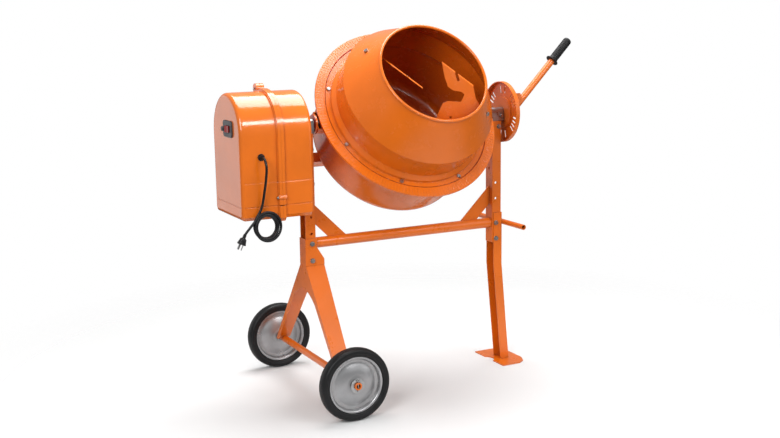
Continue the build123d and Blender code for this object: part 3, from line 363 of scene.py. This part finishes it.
def plated(name, colour, roughness):
    """Zinc-plated steel: crystal patches, dull spots and fine scratches."""
    material, tree, shader, where = new_material(name, roughness, 1.0)
    cells = tree.nodes.new("ShaderNodeTexVoronoi")
    cells.inputs["Scale"].default_value = 140.0
    tree.links.new(where, cells.inputs["Vector"])
    patch = tree.nodes.new("ShaderNodeSeparateColor")
    tree.links.new(cells.outputs["Color"], patch.inputs["Color"])
    tone = mix_colour(tree, patch.outputs[0], tuple(c * 0.84 for c in colour), colour)
    patches = remap(tree, noise(tree, where, 90.0, 4.0), 0.3, 0.7, 0.2, 0.9)
    # Corners darkened in patches: painted shade.
    painted_corner_shade = multiply(tree, crevice(tree, 0.008), patches)
    tone = mix_colour(tree, painted_corner_shade, tone, (0.10, 0.085, 0.07))
    tree.links.new(tone, shader.inputs["Base Color"])
    blotch = noise(tree, where, 60.0, 5.0)
    tree.links.new(remap(tree, blotch, 0.3, 0.7, roughness - 0.08, roughness + 0.14),
                   shader.inputs["Roughness"])
    scratches = noise(tree, where, 120.0, 3.0, 0.6, (1.0, 14.0, 1.0))
    surface(tree, shader, ((scratches, 0.05, 0.0003),), 0.0006)
    return material


def turned_steel(name, colour, roughness):
    """Machined steel with fine tool marks round the X axis, as its shafts lie."""
    material, tree, shader, where = new_material(name, roughness, 1.0)
    marks = noise(tree, where, 60.0, 3.0, 0.6, (40.0, 1.0, 1.0))
    tone = mix_colour(tree, marks, tuple(c * 0.7 for c in colour), colour)
    # Darker in corners and gaps: painted shade.
    tone = mix_colour(tree, crevice(tree, 0.01), tone, (0.05, 0.045, 0.04))
    tree.links.new(tone, shader.inputs["Base Color"])
    tree.links.new(remap(tree, marks, 0.3, 0.7, roughness, roughness + 0.15),
                   shader.inputs["Roughness"])
    surface(tree, shader, ((marks, 0.08, 0.0002),), 0.0005)
    return material


def cast_iron(name, colour):
    material, tree, shader, where = new_material(name, 0.6, 0.6)
    sand = noise(tree, where, 420.0, 5.0, 0.7)
    tone = mix_colour(tree, sand, tuple(c * 0.7 for c in colour), colour)
    # Darker in corners and gaps: painted shade.
    tone = mix_colour(tree, crevice(tree, 0.012), tone, (0.03, 0.028, 0.026))
    tree.links.new(tone, shader.inputs["Base Color"])
    tree.links.new(remap(tree, sand, 0.3, 0.7, 0.5, 0.75), shader.inputs["Roughness"])
    surface(tree, shader, ((sand, 0.25, 0.0006),), 0.001)
    return material


def rubber(name, colour, roughness, grain=700.0, depth=0.0003):
    """Black rubber or soft vinyl: faint bloom, fine grain."""
    material, tree, shader, where = new_material(name, roughness)
    shader.inputs["Specular IOR Level"].default_value = 0.28
    bloom = noise(tree, where, 28.0, 5.0, 0.6)
    tone = mix_colour(tree, remap(tree, bloom, 0.35, 0.75, 0.0, 1.0), colour,
                      tuple(c * 1.7 + 0.002 for c in colour))
    tree.links.new(tone, shader.inputs["Base Color"])
    tree.links.new(remap(tree, bloom, 0.3, 0.7, roughness - 0.06, roughness + 0.12),
                   shader.inputs["Roughness"])
    surface(tree, shader, ((noise(tree, where, grain, 3.0), 0.18, depth),), 0.0006)
    return material


def moulded(name, colour, roughness):
    """Moulded plastic: even colour with a fine spark-eroded grain."""
    material, tree, shader, where = new_material(name, roughness)
    clouds = noise(tree, where, 18.0, 4.0)
    tone = mix_colour(tree, clouds, tuple(c * 0.85 for c in colour),
                      tuple(min(1.0, c * 1.12) for c in colour))
    # Darker in corners and gaps: painted shade.
    tree.links.new(mix_colour(tree, crevice(tree, 0.006), tone, tuple(c * 0.3 for c in colour)),
                   shader.inputs["Base Color"])
    tree.links.new(remap(tree, clouds, 0.3, 0.7, roughness - 0.04, roughness + 0.08),
                   shader.inputs["Roughness"])
    surface(tree, shader, ((noise(tree, where, 1200.0, 2.0), 0.12, 0.0002),), 0.0006)
    return material


def bronze(name):
    material, tree, shader, where = new_material(name, 0.4, 1.0)
    pores = noise(tree, where, 900.0, 4.0, 0.7)
    tree.links.new(mix_colour(tree, pores, (0.30, 0.18, 0.07), (0.55, 0.37, 0.17)),
                   shader.inputs["Base Color"])
    surface(tree, shader, ((pores, 0.1, 0.0002),), 0.0004)
    return material


ORANGE = (0.74, 0.150, 0.006)
COVER_ORANGE = (0.78, 0.165, 0.010)
# SHADED_ORANGE is painted shade for the drum's inside.
SHADED_ORANGE = (0.34, 0.030, 0.006)
materials = {
    "frame_paint": enamel("frame_enamel", ORANGE, 0.30, coat=0.10),
    "drum_paint": enamel("drum_enamel", ORANGE, 0.22, coat=0.25, wear=0.35, peel=200.0,
                         shade=SHADED_ORANGE),
    "lever_paint": enamel("lever_enamel", ORANGE, 0.34, coat=0.10, wear=0.0, peel=60.0,
                          rounding=0.0006),
    "cover_plastic": enamel("cover_gloss", COVER_ORANGE, 0.15, coat=0.35, wear=0.0, peel=60.0,
                            rounding=0.002, creases=True, dust_and_shade_share=0.25),
    "wheel_steel": silver_enamel("wheel_silver", (0.42, 0.42, 0.43), 0.30),
    "tyre_rubber": rubber("tyre_rubber", (0.0035, 0.0035, 0.004), 0.42, 500.0, 0.0004),
    "zinc": plated("zinc_plate", (0.42, 0.425, 0.43), 0.30),
    "bare_steel": turned_steel("turned_steel", (0.55, 0.54, 0.53), 0.28),
    "cast_parts": cast_iron("cast_iron", (0.16, 0.165, 0.17)),
    "bronze": bronze("sintered_bronze"),
    "black_rubber": rubber("cord_rubber", (0.007, 0.007, 0.0078), 0.36),
    "grip_plastic": rubber("grip_rubber", (0.005, 0.005, 0.0055), 0.50, 900.0, 0.0001),
    "switch_plastic": moulded("switch_plastic", (0.055, 0.055, 0.06), 0.42),
    "rocker_red": moulded("rocker_red", (0.30, 0.012, 0.012), 0.28),
}

slot_of = {part["node"]: part["material_slot"] for part in frame["record"]["subparts"]}


def wear_material(piece, material):
    piece.data.materials.clear()
    piece.data.materials.append(material)


def smooth(mesh, degrees):
    """Shades faces smooth, with edges sharper than the angle kept crisp."""
    for face in mesh.polygons:
        face.use_smooth = True
    mesh.set_sharp_from_angle(angle=math.radians(degrees))


for name, cad_object in nodes.items():
    wear_material(cad_object, materials[slot_of[name]])
    smooth(cad_object.data, 32)
wear_material(mains_cord, materials["black_rubber"])


# ---------------------------------------------------------------- detailed pieces
def piece_from(name, vertices, faces, body, material, smooth_angle=35):
    """A new mesh piece that rides a body and wears a material."""
    mesh = bpy.data.meshes.new(name)
    mesh.from_pydata([tuple(v) for v in vertices], [], faces)
    work = bmesh.new()
    work.from_mesh(mesh)
    bmesh.ops.recalc_face_normals(work, faces=work.faces)
    work.to_mesh(mesh)
    work.free()
    smooth(mesh, smooth_angle)
    piece = bpy.data.objects.new(name, mesh)
    bpy.context.scene.collection.objects.link(piece)
    wear_material(piece, materials[material])
    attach(piece, body)
    return piece


def lathe(profile, origin, axis, across, steps):
    """Vertices and faces of a closed (radius, height) profile turned about an axis."""
    axis, across = Vector(axis).normalized(), Vector(across).normalized()
    third = axis.cross(across)
    count = len(profile)
    vertices, faces = [], []
    for step in range(steps):
        angle = FULL_TURN * step / steps
        out = across * math.cos(angle) + third * math.sin(angle)
        vertices += [origin + out * radius + axis * height for radius, height in profile]
        following = (step + 1) % steps
        for k in range(count):
            after = (k + 1) % count
            faces.append((step * count + k, step * count + after,
                          following * count + after, following * count + k))
    return vertices, faces


def loft(name, sections, body, material):
    """Joins rings of equally many points; the ends are closed with flat faces."""
    count = len(sections[0])
    vertices = [point for ring in sections for point in ring]
    faces = []
    for level in range(len(sections) - 1):
        for k in range(count):
            after = (k + 1) % count
            faces.append((level * count + k, level * count + after,
                          (level + 1) * count + after, (level + 1) * count + k))
    faces.append(tuple(reversed(range(count))))
    faces.append(tuple(range((len(sections) - 1) * count, len(sections) * count)))
    return piece_from(name, vertices, faces, body, material)


def oval_ring(centre, across, up, half_across, half_up, squareness, count=28):
    """Points of a rounded rectangle: squareness 2 is an ellipse, more is boxier."""
    ring = []
    for k in range(count):
        angle = FULL_TURN * k / count
        c, s = math.cos(angle), math.sin(angle)
        size = (abs(c) ** squareness + abs(s) ** squareness) ** (-1 / squareness)
        ring.append(centre + across * (half_across * size * c) + up * (half_up * size * s))
    return ring


# ---------------------------------------------------------------- wheels
WHEEL_CENTRES = {"front": Vector((MID_X - 0.3755, -0.335, 0.125)),
                 "rear": Vector((MID_X - 0.3755, 0.335, 0.125))}
# Outlines as (radius, height above the wheel's middle plane).
DISC_HUB = [(0.01255, 0.0235), (0.0170, 0.0235)]
HALF_DISC = [
    (0.0170, 0.0175), (0.0240, 0.0172), (0.0260, 0.0158), (0.0330, 0.0153), (0.0400, 0.0145),
    (0.0480, 0.0127), (0.0560, 0.0101), (0.0640, 0.0067), (0.0700, 0.0040), (0.0735, 0.0024),
    (0.0770, 0.0020), (0.0825, 0.0021), (0.0858, 0.0027), (0.0872, 0.0055), (0.0884, 0.0100),
    (0.0896, 0.0131), (0.0920, 0.0149), (0.0950, 0.0157), (0.0968, 0.0154), (0.0972, 0.0140),
]
DISC_INSIDE = [
    (0.0966, 0.0140), (0.0912, 0.0117), (0.0905, 0.0100), (0.0890, 0.0040), (0.0885, 0.0004),
]
HALF_TYRE = [
    (0.1250, 0.0), (0.1249, 0.0040), (0.1240, 0.0043), (0.1239, 0.0056), (0.1247, 0.0060),
    (0.1242, 0.0098), (0.1232, 0.0101), (0.1230, 0.0113), (0.1236, 0.0118), (0.1226, 0.0158),
    (0.1208, 0.0190), (0.1180, 0.0210), (0.1140, 0.0217), (0.1100, 0.0219), (0.1080, 0.0216),
    (0.1066, 0.0203), (0.1052, 0.0200), (0.1038, 0.0203), (0.1022, 0.0199), (0.1000, 0.0184),
    (0.0986, 0.0172), (0.0976, 0.0150), (0.0974, 0.0134), (0.0930, 0.0118), (0.0916, 0.0113),
    (0.0893, 0.0020), (0.0893, 0.0),
]


def both_halves(half):
    """An outline mirrored from its (radius, height) half above height 0."""
    return half + [(radius, -height) for radius, height in reversed(half) if height]


for end, centre in WHEEL_CENTRES.items():
    body = f"{end}_wheel"
    skin = both_halves(DISC_HUB + HALF_DISC + DISC_INSIDE)
    wheel_disc = piece_from(f"{end}_wheel_pressing", *lathe(skin, centre, ALONG_Y, ALONG_X, 96),
                            body, "wheel_steel", 50)
    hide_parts(f"{end}_wheel_disc")
    tread = both_halves(HALF_TYRE)
    tyre = piece_from(f"{end}_tyre_ribbed", *lathe(tread, centre, ALONG_Y, ALONG_X, 120),
                      body, "tyre_rubber", 40)
    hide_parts(f"{end}_tyre")


# ---------------------------------------------------------------- ring
RING_TEETH = 186
# Corners of a rib: radius, half width, height along the drum's axis.
RIB_CORNERS = ((0.3165, 0.0010, 0.0378), (0.3165, 0.0006, 0.0385),
               (0.3425, 0.0012, 0.0385), (0.3425, 0.0018, 0.0378))


def ring_ribs():
    """Shallow pressed ribs, one behind each tooth, on the front face of the ring."""
    third = DRUM_DIR.cross(ALONG_X)
    vertices, faces = [], []
    for step in range(RING_TEETH):
        angle = FULL_TURN * (step + 0.5) / RING_TEETH
        out = ALONG_X * math.cos(angle) + third * math.sin(angle)
        side = DRUM_DIR.cross(out)
        base = len(vertices)
        for radius, half, height in RIB_CORNERS:
            for sign in (-1, 1):
                vertices.append(PIVOT + out * radius + side * (sign * half) + DRUM_DIR * height)
        a, b, c, d, e, f, g, h = range(base, base + 8)
        faces += [(c, d, f, e), (a, c, e, g), (b, h, f, d),
                  (a, b, d, c), (e, f, h, g), (a, g, h, b)]
    return piece_from("ring_front_ribs", vertices, faces, "drum", "drum_paint", 60)


ring_ribs()


# ---------------------------------------------------------------- grip
LEVER_START = Vector((MID_X + 0.478, 0, 0.9735))
LEVER_DIR = Vector((0.70, 0, 0.714)).normalized()
LEVER_TUBE = 0.0125
GRIP_FROM = 0.2450
GRIP_COLLAR = [
    (0.0240, 0.2450), (0.0250, 0.2465), (0.0250, 0.2485), (0.0238, 0.2502), (0.0205, 0.2512),
    (0.0184, 0.2530), (0.0172, 0.2560),
]
RINGS_FROM = 0.2600
RINGS_TO = 0.3400
RING_PITCH = 0.0074
FINGER_RING = ((0.0164, 0.0), (0.0164, 0.0048), (0.0154, 0.0056), (0.0154, 0.0066))
GRIP_DOME = [
    (0.0163, 0.3420), (0.0163, 0.3462), (0.0155, 0.3500), (0.0138, 0.3533), (0.0110, 0.3553),
    (0.0070, 0.3559), (0.0002, 0.3560),
]
TUBE_END = 0.3120


def make_grip():
    """Moulded grip: flared collar, finger rings and a domed end."""
    profile = [(LEVER_TUBE, GRIP_FROM)] + GRIP_COLLAR
    height = RINGS_FROM
    while height < RINGS_TO:
        profile += [(radius, height + rise) for radius, rise in FINGER_RING]
        height += RING_PITCH
    profile += GRIP_DOME + [(0.0002, TUBE_END), (LEVER_TUBE, TUBE_END)]
    grip = piece_from("ribbed_grip", *lathe(profile, LEVER_START, LEVER_DIR, ALONG_Y, 56),
                      "tilt_lever", "grip_plastic", 40)
    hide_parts("lever_grip")


make_grip()


# ---------------------------------------------------------------- plug
PLUG_DIR = Vector((-0.43, 0, -0.90)).normalized()
PLUG_START = COIL + Vector((TAIL_ROUTE[-1][0], 0, TAIL_ROUTE[-1][1])) - PLUG_DIR * 0.002
PLUG_ACROSS = ALONG_Y
PLUG_UP = PLUG_DIR.cross(PLUG_ACROSS)
PLUG_FACE = 0.034         # the prongs start just inside the plug's end
PRONG_OFFSET = 0.007


def plug_body():
    """Strain relief with grooves, then a flared body with finger ribs.

    A section is its depth, its two half widths and its squareness.
    """
    sections = []
    for k in range(9):
        groove = 0.0009 if k % 2 else 0.0
        reach = 0.0056 + 0.00008 * k - groove
        sections.append((k * 0.00165, reach, reach, 2.2))
    sections += [(0.0145, 0.0075, 0.0085, 2.6), (0.0165, 0.0088, 0.0105, 3.0)]
    for k in range(7):
        dent = 0.0008 if k % 2 else 0.0
        half_up = 0.0108 + 0.00045 * k - dent
        sections.append((0.018 + k * 0.0020, 0.0094 + 0.0003 * k, half_up, 3.4))
    sections += [(0.0315, 0.0117, 0.0138, 4.0), (0.0347, 0.0117, 0.0138, 4.0),
                 (0.0360, 0.0108, 0.0129, 4.0)]
    rings = [oval_ring(PLUG_START + PLUG_DIR * depth, PLUG_ACROSS, PLUG_UP, a, b, power)
             for depth, a, b, power in sections]
    return loft("plug_body", rings, "stand", "black_rubber")


def prong(name, across, up, half_across, half_up, reach, squareness):
    """A metal blade or pin with its tip chamfered in two steps."""
    middle = PLUG_START + PLUG_ACROSS * across + PLUG_UP * up
    levels = ((PLUG_FACE, 1.0), (reach - 0.0018, 1.0), (reach - 0.0006, 0.85), (reach, 0.6))
    rings = [oval_ring(middle + PLUG_DIR * depth, PLUG_ACROSS, PLUG_UP,
                       half_across * size, half_up * size, squareness, 20)
             for depth, size in levels]
    return loft(name, rings, "stand", "zinc")


plug_pieces = [
    plug_body(),
    prong("plug_blade_upper", 0, PRONG_OFFSET, 0.0032, 0.0008, 0.0540, 8),
    prong("plug_blade_lower", 0, -PRONG_OFFSET, 0.0032, 0.0008, 0.0540, 8),
    prong("plug_earth_pin", 0.008, 0, 0.0024, 0.0024, 0.0550, 2),
]
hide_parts("plug")


# ---------------------------------------------------------------- lever spring
LEVER_PIN = Vector((MID_X + 0.463, 0, 0.960))
SPRING_RADIUS = 0.0083
SPRING_WIRE = 0.00105
SPRING_TURNS = 2.25
SPRING_POINTS_PER_TURN = 14
SPRING_FROM = 0.0118      # along the pin, from the middle plane
SPRING_TO = 0.0154
SPRING_LEG = Vector((-0.0005, 0, 0.0008))


def torsion_spring(name, side):
    """A coil round the lever pin with a short straight leg at its outer end."""
    points = []
    count = int(SPRING_TURNS * SPRING_POINTS_PER_TURN)
    for step in range(count + 1):
        share = step / count
        angle = FULL_TURN * SPRING_TURNS * share
        along = side * (SPRING_FROM + (SPRING_TO - SPRING_FROM) * share)
        points.append(LEVER_PIN + Vector((SPRING_RADIUS * math.cos(angle), along,
                                          SPRING_RADIUS * math.sin(angle))))
    last = points[-1]
    points += [last + SPRING_LEG * 0.5, last + SPRING_LEG]
    spring = curve_through(name, points, SPRING_WIRE)
    wear_material(spring, materials["zinc"])
    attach(spring, "tilt_lever")
    return spring


front_spring = torsion_spring("front_torsion_spring", -1)
torsion_spring("rear_torsion_spring", 1)
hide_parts("lever_spring")


# ---------------------------------------------------------------- studio
def make_floor():
    """A plain pale floor that fades out into the backdrop."""
    mesh = bpy.data.meshes.new("floor")
    reach = 6.0
    fade_from, fade_to = 0.75, 1.9
    corners = [(-reach, -reach, 0), (reach, -reach, 0), (reach, reach, 0), (-reach, reach, 0)]
    mesh.from_pydata(corners, [], [(0, 1, 2, 3)])
    floor = bpy.data.objects.new("floor", mesh)
    bpy.context.scene.collection.objects.link(floor)
    material, tree, shader, where = new_material("floor_paint", 0.8)
    mottling = noise(tree, where, 1.2, 4.0)
    tree.links.new(mix_colour(tree, mottling, (0.70, 0.70, 0.70), (0.75, 0.75, 0.75)),
                   shader.inputs["Base Color"])
    distance = tree.nodes.new("ShaderNodeVectorMath")
    distance.operation = "LENGTH"
    tree.links.new(where, distance.inputs[0])
    fade = remap(tree, distance.outputs["Value"], fade_from, fade_to, 1.0, 0.0)
    tree.links.new(fade, shader.inputs["Alpha"])
    wear_material(floor, material)


def make_light(name, place, target, size, power):
    """A rectangular area light of that size in metres and power in watts."""
    data = bpy.data.lights.new(name, "AREA")
    data.shape = "RECTANGLE"
    data.size, data.size_y = size
    data.energy = power
    lamp = bpy.data.objects.new(name, data)
    place, target = Vector(place), Vector(target)
    lamp.rotation_mode = "QUATERNION"
    lamp.location = place
    lamp.rotation_quaternion = (target - place).to_track_quat("-Z", "Y")
    bpy.context.scene.collection.objects.link(lamp)


def make_world():
    """White to look at, but as a light a softer grey, dimmer from below."""
    below, above = 0.10, 0.42
    world = bpy.data.worlds.new("studio")
    world.use_nodes = True
    tree = world.node_tree
    seen = tree.nodes["Background"]
    seen.inputs["Color"].default_value = (1, 1, 1, 1)
    lighting = tree.nodes.new("ShaderNodeBackground")
    direction = tree.nodes.new("ShaderNodeSeparateXYZ")
    tree.links.new(tree.nodes.new("ShaderNodeTexCoord").outputs["Generated"], direction.inputs[0])
    lighting.inputs["Color"].default_value = (1, 1, 1, 1)
    tree.links.new(remap(tree, direction.outputs["Z"], -0.35, 0.35, below, above),
                   lighting.inputs["Strength"])
    choose = tree.nodes.new("ShaderNodeMixShader")
    path = tree.nodes.new("ShaderNodeLightPath")
    tree.links.new(path.outputs["Is Camera Ray"], choose.inputs[0])
    tree.links.new(lighting.outputs[0], choose.inputs[1])
    tree.links.new(seen.outputs[0], choose.inputs[2])
    tree.links.new(choose.outputs[0], tree.nodes["World Output"].inputs["Surface"])
    bpy.context.scene.world = world
    bpy.context.scene.view_settings.view_transform = "Standard"


def make_studio():
    make_floor()
    make_world()
    middle = (MID_X, 0, 0.75)
    make_light("overhead", (0.2, 0.5, 3.2), middle, (2.2, 1.8), 108)
    make_light("high_front", (0.7, -3.0, 2.7), (-0.3, 0, 0.95), (2.0, 0.55), 55)
    make_light("left_panel", (-2.7, -2.4, 2.4), middle, (1.3, 1.7), 80)
    make_light("back_panel", (-2.3, 3.1, 0.8), middle, (2.4, 1.8), 12)
    make_light("right_fill", (2.8, -2.4, 1.4), middle, (1.6, 2.0), 14)


make_studio()
